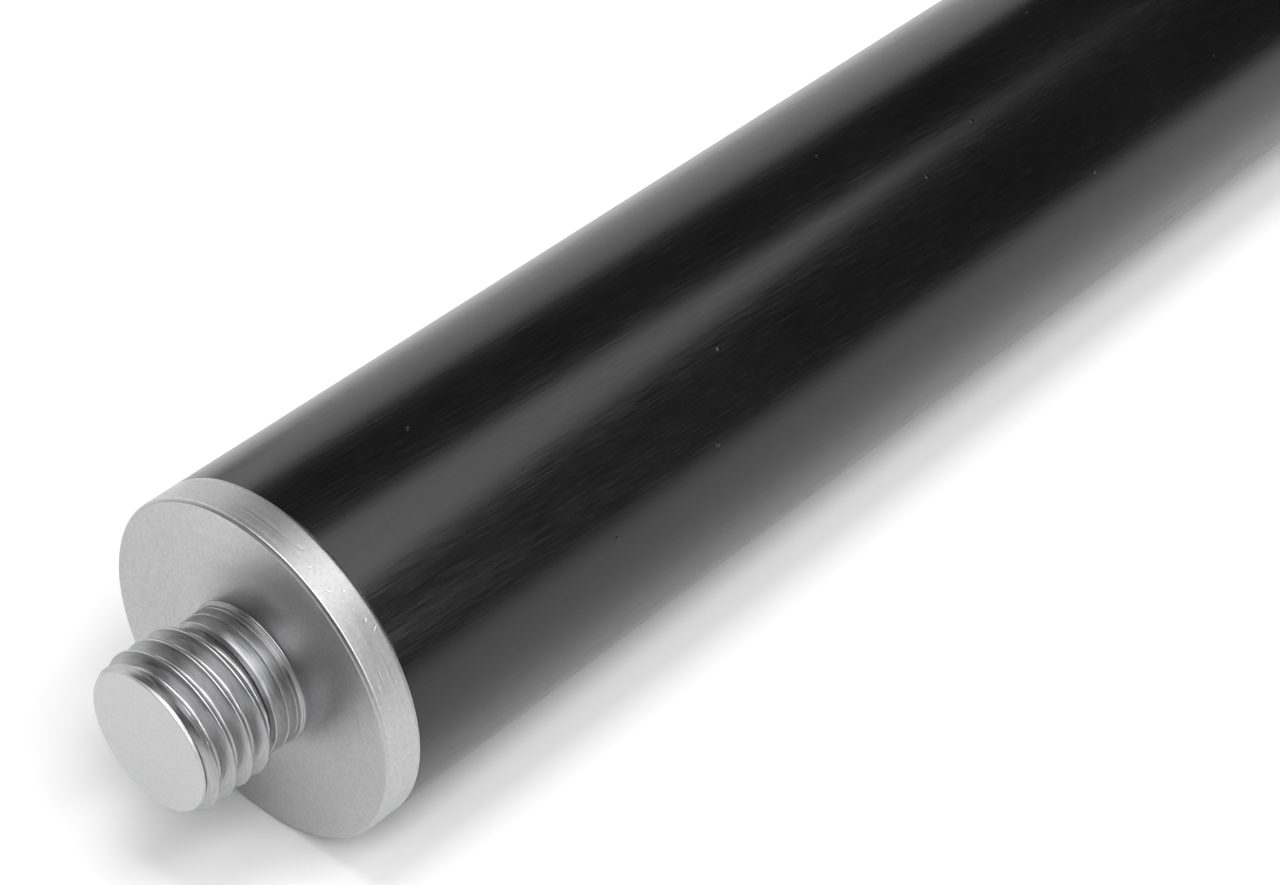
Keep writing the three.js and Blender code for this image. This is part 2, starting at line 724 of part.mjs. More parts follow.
NUT_SCREW_ANGLES.forEach((degrees, i) => {
  const angle = THREE.MathUtils.degToRad(degrees);
  const screw = place(nut, `nut_screw_${i + 1}`, capScrew(2, 20), blackOxide, NUT_LENGTH + 0.1);
  screw.position.y = NUT_SCREW_CIRCLE * Math.cos(angle);
  screw.position.z = NUT_SCREW_CIRCLE * Math.sin(angle);
  screw.rotation.z = Math.PI;
});

// What turns: the ball screw, its tip bush, and the collars, inner rings and lock nut on its bearing seat.
const screw = new THREE.Group();
place(screw, 'ball_screw', ballScrew(), groundSteel, THREAD_X);
const tipX = THREAD_X - TIP_JOURNAL_LENGTH;
place(screw, 'tip_guide_bush', tipGuideBush(), acetal, tipX + 0.4);
place(screw, 'tip_washer', ring(1.2, 2.8, 7.5, 20), turnedSteel, tipX - 1.4);
place(screw, 'tip_screw', capScrew(2.5, 12), blackOxide, tipX - 1.6);
place(screw, 'drive_key', driveKey(), turnedSteel, THREAD_X);
function collar(length) {
  return ring(length, BEARING_SEAT_RADIUS + 0.15, COLLAR_RADIUS, 20);
}

const FRONT_COLLAR_X = SEAT_START + 0.15; // from the housing's front face
const REAR_COLLAR_X = REAR_BEARING + BEARING_WIDTH + 0.15;
const frontCollar = collar(FRONT_BEARING - 0.15 - FRONT_COLLAR_X);
const rearCollar = collar(LOCK_NUT_START - 0.15 - REAR_COLLAR_X);
place(screw, 'front_collar', frontCollar, turnedSteel, HOUSING_X + FRONT_COLLAR_X);
place(screw, 'rear_collar', rearCollar, turnedSteel, HOUSING_X + REAR_COLLAR_X);
place(screw, 'bearing_inner_ring_front', innerRing(), bearingSteel, HOUSING_X + FRONT_BEARING);
place(screw, 'bearing_inner_ring_rear', innerRing(), bearingSteel, HOUSING_X + REAR_BEARING);
place(screw, 'lock_nut', lockNut(), blackOxide, HOUSING_X + LOCK_NUT_START);
SET_SCREW_SIDES.forEach((side, i) => {
  place(screw, `lock_nut_set_screw_${i + 1}`, setScrew(side), turnedSteel, HOUSING_X + LOCK_NUT_START);
});

// What is bolted down: the bearing unit and the travel stop on its face.
const unit = new THREE.Group();
unit.position.x = HOUSING_X;
place(unit, 'bearing_housing', bearingHousing(), housingSteel);
place(unit, 'bearing_outer_ring_front', outerRing(), bearingSteel, FRONT_BEARING);
place(unit, 'bearing_outer_ring_rear', outerRing(), bearingSteel, REAR_BEARING);
place(unit, 'front_oil_seal', oilSeal(4.4), rubber, 1.6);
place(unit, 'rear_oil_seal', oilSeal(4.4), rubber, COVER_START + COVER_THICKNESS - 1 - 4.6);
place(unit, 'bearing_cover', bearingCover(), turnedSteel, COVER_START);
const stopRing = ring(STOP_LENGTH, STOP_BORE, STOP_RADIUS, 24);
place(unit, 'travel_stop_ring', stopRing, polyurethane, -STOP_LENGTH - 0.1);
COVER_SCREW_ANGLES.forEach((degrees, i) => {
  const angle = THREE.MathUtils.degToRad(degrees);
  const seatX = COVER_START + COVER_THICKNESS + 0.1;
  const coverScrew = place(unit, `cover_screw_${i + 1}`, capScrew(1.5, 10), blackOxide, seatX);
  coverScrew.position.y = COVER_SCREW_CIRCLE * Math.cos(angle);
  coverScrew.position.z = COVER_SCREW_CIRCLE * Math.sin(angle);
  coverScrew.rotation.z = Math.PI;
});

// The two bearings' ball sets, which turn between the rings.
const ballSets = new THREE.Group();
ballSets.position.x = HOUSING_X;
place(ballSets, 'bearing_ball_set_front', bearingBallSet(), bearingSteel, FRONT_BEARING);
place(ballSets, 'bearing_ball_set_rear', bearingBallSet(), bearingSteel, REAR_BEARING);

const assembly = new THREE.Group();
assembly.add(thrust, screw, unit, ballSets);
export default assembly;
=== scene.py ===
"""The looks of a ball screw assembly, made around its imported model.

The screw's axis is the X axis, +X runs from the threaded stud to the drive journal, and +Z is up.
Blender works in metres. Outlines are written in millimetres and scaled when they become a mesh.
"""

import math

import bmesh
import bpy
import numpy as np
from mathutils import Matrix, Vector


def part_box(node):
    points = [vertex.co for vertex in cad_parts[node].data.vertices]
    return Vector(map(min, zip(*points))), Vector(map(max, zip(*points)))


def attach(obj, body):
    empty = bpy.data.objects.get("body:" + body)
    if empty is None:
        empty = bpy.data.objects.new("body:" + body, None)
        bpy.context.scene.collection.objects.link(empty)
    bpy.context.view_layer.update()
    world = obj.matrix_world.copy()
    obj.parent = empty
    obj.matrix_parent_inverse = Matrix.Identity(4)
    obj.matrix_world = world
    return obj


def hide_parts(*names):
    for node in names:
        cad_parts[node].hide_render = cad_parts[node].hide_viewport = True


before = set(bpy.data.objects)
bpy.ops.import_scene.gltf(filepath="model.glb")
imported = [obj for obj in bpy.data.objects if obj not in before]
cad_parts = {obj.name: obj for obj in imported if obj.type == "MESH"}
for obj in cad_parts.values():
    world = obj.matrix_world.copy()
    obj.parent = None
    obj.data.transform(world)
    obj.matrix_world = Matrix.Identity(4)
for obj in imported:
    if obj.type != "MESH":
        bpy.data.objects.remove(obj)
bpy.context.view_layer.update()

MM = 0.001
SEGMENTS = 128  # round pieces
SMALL_SEGMENTS = 48  # screws and other small round pieces

# Sizes in millimetres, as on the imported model. Every bore, like every radius, is given from the axis.
TUBE_RADIUS = 22.5
TUBE_BORE = 14.3

STUD_RADIUS = 10
STUD_PITCH = 2.5
STUD_THREAD_DEPTH = 1.53
STUD_FACE_RADIUS = 9.05  # of the flat end, inside the chamfer
CREST_AT_TOP = 0.83  # from the stud's end to its first crest, at the top
NECK_LENGTH = 4.15
SHOULDER_THICKNESS = 5

SCREW_RADIUS = 8
SCREW_LEAD = 5
SCREW_SEAT_RADIUS = 6  # where the bearings are
DRIVE_RADIUS = 5
TIP_RADIUS = 5
KEY_WIDTH = 2.8
KEYWAY_WIDTH = 3
KEYWAY_BOTTOM = 3.3  # from the axis
BALL_RADIUS = 1.5875
BALL_CENTRE = 8.1  # the balls' distance from the axis
GROOVE_AT_TOP = 1.95  # from the thread's start to the middle of its first ball groove, at the top

LOCK_NUT_FLATS = 19  # from one flat to the opposite one
SET_SCREW_RADIUS = 2

NUT_RADIUS = 14
NUT_BORE = 8.3
NUT_WIPER_SEAT = 10.7
NUT_FLANGE_RADIUS = 24
NUT_FLANGE_THICKNESS = 10
NUT_FLANGE_HALF_HEIGHT = 20
NUT_SCREWS = 6
NUT_SCREW_RADIUS = 2
NUT_SCREW_LENGTH = 20

HOUSING_RADIUS = 20
HOUSING_FLANGE_RADIUS = 30
HOUSING_FLANGE_THICKNESS = 10
HOUSING_HALF_HEIGHT = 22
HOUSING_BOLT_CIRCLE = 25  # the circle's radius
HOUSING_BOLT_RADIUS = 2.75
HOUSING_BOLT_DEGREES = (45, 135, 225, 315)
BEARING_SEAT = 14.2
SEAL_SEAT = 12.2
COVER_RADIUS = 21
COVER_THICKNESS = 4
COVER_PILOT_RADIUS = 13.9
COVER_SCREWS = 4
COVER_SCREW_RADIUS = 1.5
COVER_SCREW_LENGTH = 10
SCREW_HEAD_GAP = 0.1  # between a screw's head and what it clamps


def first_x(node):
    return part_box(node)[0].x / MM


def last_x(node):
    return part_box(node)[1].x / MM


def centre(node):
    low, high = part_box(node)
    return (low + high) / 2 / MM


# ---- Meshes ----


def softened(outline, steps=5):
    """An outline of (x, radius) points, where a third number rounds the corner by that length."""
    points = []
    for i, (x, radius, *size) in enumerate(outline):
        corner = Vector((x, radius))
        if not size:
            points.append(corner)
            continue
        before = Vector(outline[i - 1][:2])
        after = Vector(outline[(i + 1) % len(outline)][:2])
        start = corner + (before - corner).normalized() * size[0]
        end = corner + (after - corner).normalized() * size[0]
        for k in range(steps + 1):
            t = k / steps
            points.append((1 - t) ** 2 * start + 2 * t * (1 - t) * corner + t * t * end)
    return points


def object_from(mesh, name):
    """An object from a bmesh, shaded smooth except at its sharp edges."""
    bmesh.ops.recalc_face_normals(mesh, faces=mesh.faces)
    data = bpy.data.meshes.new(name)
    mesh.to_mesh(data)
    mesh.free()
    made = bpy.data.objects.new(name, data)
    bpy.context.scene.collection.objects.link(made)
    shade(made)
    return made


def shade(made):
    data = made.data
    data.polygons.foreach_set("use_smooth", [True] * len(data.polygons))
    data.set_sharp_from_angle(angle=math.radians(35))


def lathe(name, outline, segments=SEGMENTS):
    """An outline turned about the X axis. It starts and ends on the axis, or closes on itself."""
    points = softened(outline)
    mesh = bmesh.new()
    rings = []
    for x, radius in points:
        count = segments if radius > 1e-6 else 1
        ring = []
        for i in range(count):
            angle = 2 * math.pi * i / segments
            place = (x, -radius * math.sin(angle), radius * math.cos(angle))
            ring.append(mesh.verts.new(Vector(place) * MM))
        rings.append(ring)
    pairs = list(zip(rings, rings[1:]))
    closes_on_itself = len(rings[0]) > 1
    if closes_on_itself:
        pairs.append((rings[-1], rings[0]))
    for a, b in pairs:
        for i in range(segments):
            j = (i + 1) % segments
            corners = [a[i % len(a)], a[j % len(a)], b[j % len(b)], b[i % len(b)]]
            mesh.faces.new(list(dict.fromkeys(corners)))
    return object_from(mesh, name)


def plain_pin(name, start, end, radius, segments=SMALL_SEGMENTS):
    """A plain round bar on the X axis, for cutting holes."""
    return lathe(name, [(start, 0), (start, radius), (end, radius), (end, 0)], segments)


def threaded_bar(name, start, length, lead, profile, limit, first, segments=96):
    """A bar with a right-hand thread. profile is one pitch, as (x, radius) points with x from 0 to lead,
    first is where a pitch starts at the top of the bar, and limit(x) is the bar's largest radius at x."""
    places = np.array([p[0] for p in profile])
    radii = np.array([p[1] for p in profile])
    turns = math.ceil(length / lead) + 3
    rows = (np.arange(-2, turns)[:, None] * lead + places[None, :]).ravel() + first
    turn = np.arange(segments) / segments
    x = np.clip(rows[:, None] + lead * turn[None, :], 0, length)
    radius = np.interp(x - lead * turn - first, places, radii, period=lead)
    radius = np.minimum(radius, limit(x))
    angle = 2 * math.pi * turn
    vertices = np.stack([x + start, -radius * np.sin(angle), radius * np.cos(angle)], axis=2) * MM
    faces = []
    for row in range(len(rows) - len(profile) - 1):
        for i in range(segments):
            # One turn further on, the same point belongs to the next pitch
            wrap = len(profile) if i == segments - 1 else 0
            a = row * segments + i
            b = (row + wrap) * segments + (i + 1) % segments
            faces.append((a, a + segments, b + segments, b))
    data = bpy.data.meshes.new(name)
    data.from_pydata(vertices.reshape(-1, 3).tolist(), [], faces)
    mesh = bmesh.new()
    mesh.from_mesh(data)
    bpy.data.meshes.remove(data)
    bmesh.ops.remove_doubles(mesh, verts=mesh.verts, dist=1e-7)
    loose = [v for v in mesh.verts if not v.link_faces]
    bmesh.ops.delete(mesh, geom=loose, context="VERTS")
    bmesh.ops.holes_fill(mesh, edges=[e for e in mesh.edges if e.is_boundary], sides=0)
    return object_from(mesh, name)


def between(name, near_outline, far_outline):
    """A solid between two flat outlines with the same number of corners."""
    mesh = bmesh.new()
    near = [mesh.verts.new(Vector(corner) * MM) for corner in near_outline]
    far = [mesh.verts.new(Vector(corner) * MM) for corner in far_outline]
    mesh.faces.new(near)
    mesh.faces.new(far)
    for i in range(len(near)):
        j = (i + 1) % len(near)
        mesh.faces.new((near[i], near[j], far[j], far[i]))
    return object_from(mesh, name)


def prism(name, corners, x0, x1):
    """A bar from x0 to x1 with a section of (y, z) corners."""
    near = [(x0, y, z) for y, z in corners]
    far = [(x1, y, z) for y, z in corners]
    return between(name, near, far)


def stadium(name, width, x0, x1, z0, z1):
    """A bar with round ends, lying along X, such as a parallel key."""
    half = width / 2
    steps = 12
    corners = []
    for middle, first in ((x1 - half, -90), (x0 + half, 90)):
        for i in range(steps + 1):
            angle = math.radians(first + 180 * i / steps)
            corners.append((middle + half * math.cos(angle), half * math.sin(angle)))
    near = [(x, y, z0) for x, y in corners]
    far = [(x, y, z1) for x, y in corners]
    return between(name, near, far)


def polygon(radius, count, turn=0.0):
    """The (y, z) corners of a regular polygon, the first one turned from +Y by so many degrees."""
    angles = [math.radians(turn) + 2 * math.pi * i / count for i in range(count)]
    return [(radius * math.cos(a), radius * math.sin(a)) for a in angles]


def rectangle(half_width, half_height):
    """The (y, z) corners of a rectangle round the axis."""
    return [
        (-half_width, -half_height),
        (half_width, -half_height),
        (half_width, half_height),
        (-half_width, half_height),
    ]


def moved(made, matrix):
    made.data.transform(matrix)
    return made


def shifted(made, x=0.0, y=0.0, z=0.0):
    return moved(made, Matrix.Translation(Vector((x, y, z)) * MM))


def flattened(made):
    """Turns an object's modifiers into its mesh."""
    bpy.context.view_layer.update()
    depsgraph = bpy.context.evaluated_depsgraph_get()
    old = made.data
    made.data = bpy.data.meshes.new_from_object(made.evaluated_get(depsgraph))
    made.modifiers.clear()
    bpy.data.meshes.remove(old)
    return made


def carved(made, *tools, operation="DIFFERENCE"):
    """Cuts the tools out of an object, or keeps what is inside the tool with operation INTERSECT."""
    for tool in tools:
        modifier = made.modifiers.new("carve", "BOOLEAN")
        modifier.operation = operation
        modifier.solver = "EXACT"
        modifier.object = tool
    flattened(made)
    for tool in tools:
        bpy.data.objects.remove(tool)
    shade(made)
    return made


def bevelled(made, width, degrees):
    """Rounds the edges that are sharper than an angle."""
    modifier = made.modifiers.new("bevel", "BEVEL")
    modifier.width = width * MM
    modifier.segments = 3
    modifier.limit_method = "ANGLE"
    modifier.angle_limit = math.radians(degrees)
    modifier.use_clamp_overlap = True
    flattened(made)
    shade(made)
    return made


def joined(name, *pieces):
    """One object from several, which may touch or pass into each other."""
    mesh = bmesh.new()
    for piece in pieces:
        mesh.from_mesh(piece.data)
        bpy.data.objects.remove(piece)
    return object_from(mesh, name)


def fitted(made, node, body, material):
    """The piece stands for a CAD node, rides on a body and gets its material."""
    modifier = made.modifiers.new("flat faces stay flat", "WEIGHTED_NORMAL")
    modifier.keep_sharp = True
    made.data.materials.clear()
    made.data.materials.append(material)
    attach(made, body)
    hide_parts(node)


# ---- Materials ----


class Surface:
    """A material with a Principled shader and short ways to add procedural detail."""

    def __init__(self, name, color, roughness, metallic=0.0):
        self.material = bpy.data.materials.new(name)
        self.material.use_nodes = True
        self.nodes = self.material.node_tree.nodes
        self.links = self.material.node_tree.links
        self.shader = self.nodes["Principled BSDF"]
        self.shader.inputs["Base Color"].default_value = (*color, 1)
        self.shader.inputs["Roughness"].default_value = roughness
        self.shader.inputs["Metallic"].default_value = metallic
        self.height = None

    def feed(self, node, values):
        """Sets a node's sockets, each to a number or to what another node gives."""
        for socket, value in zip(node.inputs, values):
            if isinstance(value, (int, float)):
                socket.default_value = value
            else:
                self.links.new(value, socket)
        return node.outputs[0]

    def math(self, operation, *values):
        node = self.nodes.new("ShaderNodeMath")
        node.operation = operation
        return self.feed(node, values)

    def vector(self, x, y, z):
        return self.feed(self.nodes.new("ShaderNodeCombineXYZ"), (x, y, z))

    def place(self):
        """The point on the piece, in metres in the part's frame, and its x, y and z."""
        point = self.nodes.new("ShaderNodeTexCoord").outputs["Object"]
        split = self.nodes.new("ShaderNodeSeparateXYZ")
        self.links.new(point, split.inputs[0])
        return point, *split.outputs

    def distance(self, a, b):
        """How far a point is from the middle, from its distances in two directions."""
        squares = self.math("ADD", self.math("POWER", a, 2), self.math("POWER", b, 2))
        return self.math("SQRT", squares)

    def around(self):
        """The distance along the X axis, out from it and round it. The turn jumps underneath, at -Z."""
        _, x, y, z = self.place()
        radius = self.distance(y, z)
        turn = self.math("ARCTAN2", y, z)
        return x, radius, turn

    def noise(self, vector, scale, detail=3.0, roughness=0.55):
        node = self.nodes.new("ShaderNodeTexNoise")
        node.inputs["Scale"].default_value = scale
        node.inputs["Detail"].default_value = detail
        node.inputs["Roughness"].default_value = roughness
        self.links.new(vector, node.inputs["Vector"])
        return node.outputs["Fac"]

    def spread(self, value, low, high, from_low=0.3, from_high=0.7):
        """A value stretched from one range to another, and held within it."""
        node = self.nodes.new("ShaderNodeMapRange")
        node.inputs["From Min"].default_value = from_low
        node.inputs["From Max"].default_value = from_high
        node.inputs["To Min"].default_value = low
        node.inputs["To Max"].default_value = high
        self.links.new(value, node.inputs["Value"])
        return node.outputs["Result"]

    def colours(self, value, dark, light, from_low=0.3, from_high=0.7):
        """A base colour that goes from dark to light with a value."""
        node = self.nodes.new("ShaderNodeMix")
        node.data_type = "RGBA"
        node.inputs["A"].default_value = (*dark, 1)
        node.inputs["B"].default_value = (*light, 1)
        self.links.new(self.spread(value, 0, 1, from_low, from_high), node.inputs["Factor"])
        self.links.new(node.outputs["Result"], self.shader.inputs["Base Color"])

    def rough(self, value, low, high):
        """A roughness that goes from low to high with a value."""
        self.links.new(self.spread(value, low, high), self.shader.inputs["Roughness"])

    def bump(self, value, depth):
        """Relief of so many metres between the value's 0 and 1, on top of the relief before it."""
        node = self.nodes.new("ShaderNodeBump")
        node.inputs["Strength"].default_value = 1
        node.inputs["Distance"].default_value = depth
        self.links.new(value, node.inputs["Height"])
        if self.height:
            self.links.new(self.height, node.inputs["Normal"])
        self.height = node.outputs["Normal"]
        self.links.new(self.height, self.shader.inputs["Normal"])

    def turned_grain(self, anisotropic):
        """Gloss stretched across the marks of a lathe tool, which run round the X axis."""
        tangent = self.nodes.new("ShaderNodeTangent")
        tangent.direction_type = "RADIAL"
        tangent.axis = "X"
        self.shader.inputs["Anisotropic"].default_value = anisotropic
        self.links.new(tangent.outputs[0], self.shader.inputs["Tangent"])


def turning_marks(surface, scale, relief):
    """Fine grooves round the X axis, from a lathe tool, on faces and on round surfaces."""
    x, radius, turn = surface.around()
    slowly_round = surface.math("MULTIPLY", turn, 0.0006)
    marks = surface.noise(surface.vector(x, radius, slowly_round), scale, 4)
    surface.bump(marks, relief)
    return marks


def black_nitride():
    """A black coating over fine polishing marks that run along the tube, a little askew."""
    surface = Surface("black_nitride", (0.004, 0.004, 0.004), 0.23)
    surface.shader.inputs["IOR"].default_value = 1.48
    x, _, turn = surface.around()
    skewed = surface.math("MULTIPLY_ADD", x, 2.4, turn)
    across = surface.math("MULTIPLY", skewed, TUBE_RADIUS * MM)

    marks_along = surface.math("MULTIPLY", x, 0.04)
    marks = surface.noise(surface.vector(marks_along, across, 0), 4200, 3, 0.6)
    surface.rough(marks, 0.17, 0.29)
    surface.bump(marks, 1.2e-6)

    scratches_along = surface.math("MULTIPLY", x, 0.02)
    scratches = surface.noise(surface.vector(scratches_along, across, 1), 2500, 0)
    surface.bump(surface.spread(scratches, 0, 1, 0.72, 0.78), 4e-6)

    clouds = surface.noise(surface.place()[0], 40, 2)
    surface.colours(clouds, (0.003, 0.003, 0.003), (0.005, 0.005, 0.005))

    # A few small raised specks in the coating
    spots = surface.nodes.new("ShaderNodeTexVoronoi")
    spots.voronoi_dimensions = "2D"
    spots.inputs["Scale"].default_value = 40
    surface.links.new(surface.vector(x, across, 0), spots.inputs["Vector"])
    surface.bump(surface.spread(spots.outputs["Distance"], 1, 0, 0.005, 0.013), 40e-6)
    return surface.material


def turned_steel():
    """Bare steel from the lathe, with a fine grain and a few pits."""
    surface = Surface("turned_steel", (0.52, 0.52, 0.525), 0.34, 1)
    surface.turned_grain(0.75)
    marks = turning_marks(surface, 3200, 1.3e-6)
    point = surface.place()[0]
    grain = surface.noise(point, 2200, 4, 0.7)
    surface.colours(grain, (0.42, 0.42, 0.425), (0.53, 0.53, 0.535))
    surface.rough(marks, 0.3, 0.42)
    surface.bump(grain, 0.9e-6)
    pits = surface.noise(point, 1300, 0)
    surface.bump(surface.spread(pits, 1, 0, 0.76, 0.82), 8e-6)
    return surface.material


def faced_steel():
    """The stud's end face and other matt, lightly scratched faces."""
    surface = Surface("faced_steel", (0.55, 0.55, 0.555), 0.42, 1)
    point, x, y, z = surface.place()
    along = surface.math("MULTIPLY", y, 0.08)
    scratches = surface.noise(surface.vector(x, along, z), 3000, 3)
    grain = surface.noise(point, 2500, 4, 0.7)
    surface.colours(grain, (0.48, 0.48, 0.485), (0.55, 0.55, 0.555))
    surface.rough(scratches, 0.38, 0.5)
    surface.bump(scratches, 0.6e-6)
    surface.bump(grain, 0.8e-6)
    return surface.material


def thread_steel():
    """Cut threads and necks: dull, with coarser marks from the tool."""
    surface = Surface("thread_steel", (0.42, 0.42, 0.425), 0.36, 1)
    surface.turned_grain(0.4)
    point = surface.place()[0]
    marks = turning_marks(surface, 7000, 1.5e-6)
    surface.rough(marks, 0.28, 0.42)
    surface.colours(marks, (0.28, 0.28, 0.285), (0.46, 0.46, 0.465))
    surface.bump(surface.noise(point, 3000, 3), 1e-6)
    return surface.material


def ground_steel():
    """The ball screw and its journals, smoother than turned steel."""
    surface = Surface("ground_steel", (0.52, 0.52, 0.53), 0.2, 1)
    surface.turned_grain(0.3)
    marks = turning_marks(surface, 3500, 0.5e-6)
    surface.rough(marks, 0.19, 0.31)
    clouds = surface.noise(surface.place()[0], 60, 3)
    surface.colours(clouds, (0.42, 0.42, 0.425), (0.5, 0.5, 0.51))
    return surface.material


def nut_steel():
    """Hardened steel, darker and a little blue."""
    surface = Surface("nut_steel", (0.33, 0.335, 0.35), 0.3, 1)
    surface.turned_grain(0.4)
    marks = turning_marks(surface, 2400, 0.8e-6)
    surface.rough(marks, 0.24, 0.36)
    clouds = surface.noise(surface.place()[0], 90, 4)
    surface.colours(clouds, (0.28, 0.285, 0.30), (0.36, 0.365, 0.38))
    return surface.material


def bearing_steel():
    """Polished rings and balls."""
    surface = Surface("bearing_steel", (0.62, 0.62, 0.63), 0.1, 1)
    marks = turning_marks(surface, 4000, 0.15e-6)
    surface.rough(marks, 0.07, 0.14)
    return surface.material


def black_oxide(name, color, low, high):
    """Blackened steel of a dark colour, mottled to a lighter one, with a roughness from low to high."""
    surface = Surface(name, color, 0.4, 0.6)
    point = surface.place()[0]
    mottle = surface.noise(point, 500, 4, 0.7)
    light = tuple(1.6 * c for c in color)
    surface.colours(mottle, color, light)
    surface.rough(mottle, low, high)
    turning_marks(surface, 2000, 0.8e-6)
    surface.bump(mottle, 1.5e-6)
    return surface.material


def brass():
    surface = Surface("brass", (0.55, 0.38, 0.14), 0.25, 1)
    mottle = surface.noise(surface.place()[0], 300, 4)
    surface.colours(mottle, (0.50, 0.34, 0.12), (0.60, 0.43, 0.18))
    surface.rough(mottle, 0.2, 0.34)
    turning_marks(surface, 2500, 0.8e-6)
    return surface.material


def rubber():
    surface = Surface("rubber", (0.012, 0.012, 0.012), 0.65)
    grain = surface.noise(surface.place()[0], 1500, 4, 0.7)
    surface.colours(grain, (0.010, 0.010, 0.010), (0.018, 0.018, 0.018))
    surface.rough(grain, 0.55, 0.75)
    surface.bump(grain, 3e-6)
    return surface.material


def polyurethane():
    surface = Surface("polyurethane", (0.42, 0.10, 0.02), 0.38)
    surface.shader.inputs["Subsurface Weight"].default_value = 0.25
    surface.shader.inputs["Subsurface Scale"].default_value = 0.002
    clouds = surface.noise(surface.place()[0], 150, 3)
    surface.colours(clouds, (0.36, 0.08, 0.015), (0.46, 0.12, 0.025))
    surface.rough(clouds, 0.3, 0.45)
    surface.bump(surface.noise(surface.place()[0], 900, 3), 2e-6)
    return surface.material


def acetal():
    surface = Surface("acetal", (0.76, 0.74, 0.68), 0.42)
    marks = turning_marks(surface, 1800, 1.2e-6)
    surface.rough(marks, 0.36, 0.5)
    clouds = surface.noise(surface.place()[0], 120, 3)
    surface.colours(clouds, (0.72, 0.70, 0.64), (0.80, 0.78, 0.72))
    return surface.material


BLACK_NITRIDE = black_nitride()
TURNED_STEEL = turned_steel()
FACED_STEEL = faced_steel()
THREAD_STEEL = thread_steel()
GROUND_STEEL = ground_steel()
NUT_STEEL = nut_steel()
BEARING_STEEL = bearing_steel()
HOUSING_STEEL = black_oxide("housing_steel", (0.030, 0.031, 0.034), 0.32, 0.48)
BLACK_OXIDE = black_oxide("black_oxide", (0.022, 0.022, 0.025), 0.3, 0.42)
BRASS = brass()
RUBBER = rubber()
POLYURETHANE = polyurethane()
ACETAL = acetal()


# ---- The thrust tube and its end plug ----


def make_thrust_tube():
    start, end = first_x("thrust_tube"), last_x("thrust_tube")
    outline = [
        (start, TUBE_BORE, 0.3),
        (start, TUBE_RADIUS, 0.1),
        (end, TUBE_RADIUS, 0.4),
        (end, TUBE_BORE, 0.3),
    ]
    tube = lathe("tube", outline, 2 * SEGMENTS)
    fitted(tube, "thrust_tube", "thrust_rod", BLACK_NITRIDE)


def stud_profile():
    """One pitch of the stud's thread, from the middle of a root, with a rounded root and crest."""
    crest = STUD_RADIUS
    root = crest - STUD_THREAD_DEPTH
    crest_half = STUD_PITCH / 16
    flank = (crest - root) * math.tan(math.radians(30))
    middle = STUD_PITCH / 2
    outline = [
        (0, root),
        (middle - crest_half - flank, root, 0.2),
        (middle - crest_half, crest, 0.16),
        (middle + crest_half, crest, 0.16),
        (middle + crest_half + flank, root, 0.2),
        (STUD_PITCH - 1e-3, root),
    ]
    return softened(outline, 4)


def shoulder_x():
    """Where the disc's front face is, which the stud stands on."""
    return first_x("thrust_tube") - SHOULDER_THICKNESS


def make_plug():
    """The disc with a fine groove at the tube's edge, and the spigot with its O-ring groove."""
    shoulder = shoulder_x()
    rear = shoulder + SHOULDER_THICKNESS
    spigot = TUBE_BORE - 0.3
    end = last_x("rod_end_plug")
    ring = centre("plug_o_ring").x
    ring_half_width, ring_depth = 1.3, 2
    plug = lathe(
        "plug",
        [
            (shoulder, 0),
            (shoulder, TUBE_RADIUS - 0.35, 0.12),
            (shoulder + 0.35, TUBE_RADIUS, 0.12),
            (rear - 0.36, TUBE_RADIUS, 0.05),
            (rear - 0.24, TUBE_RADIUS - 0.2, 0.04),
            (rear - 0.04, TUBE_RADIUS, 0.02),
            (rear - 0.02, spigot, 0.2),
            (ring - ring_half_width, spigot, 0.1),
            (ring - ring_half_width, spigot - ring_depth, 0.2),
            (ring + ring_half_width, spigot - ring_depth, 0.2),
            (ring + ring_half_width, spigot, 0.1),
            (end - 1, spigot, 0.2),
            (end, spigot - 1, 0.2),
            (end, 0),
        ],
        2 * SEGMENTS,
    )
    fitted(plug, "rod_end_plug", "thrust_rod", TURNED_STEEL)


def make_stud_neck():
    """The plain stretch between the thread and the disc, with the tool's small steps on it."""
    shoulder = shoulder_x()
    start = shoulder - NECK_LENGTH
    neck = lathe(
        "stud_neck",
        [
            (start - 0.7, 0),
            (start - 0.7, 8.35),
            (start - 0.35, 8.1, 0.1),
            (start, 8.95, 0.1),
            (shoulder - 2.5, 9, 0.05),
            (shoulder - 2.43, 8.88, 0.03),
            (shoulder - 2.33, 9.08, 0.05),
            (shoulder - 1.1, 9.08, 0.05),
            (shoulder - 1.03, 8.93, 0.03),
            (shoulder - 0.93, 9.03, 0.05),
            (shoulder - 0.4, 9.03, 0.1),
            (shoulder - 0.3, 9.2, 0.08),
            (shoulder - 0.22, 9.2, 0.03),
            (shoulder - 0.14, 9.36, 0.06),
            (shoulder + 0.05, 9.4),
            (shoulder + 0.05, 0),
        ],
        2 * SEGMENTS,
    )
    fitted(neck, "rod_end_plug", "thrust_rod", THREAD_STEEL)


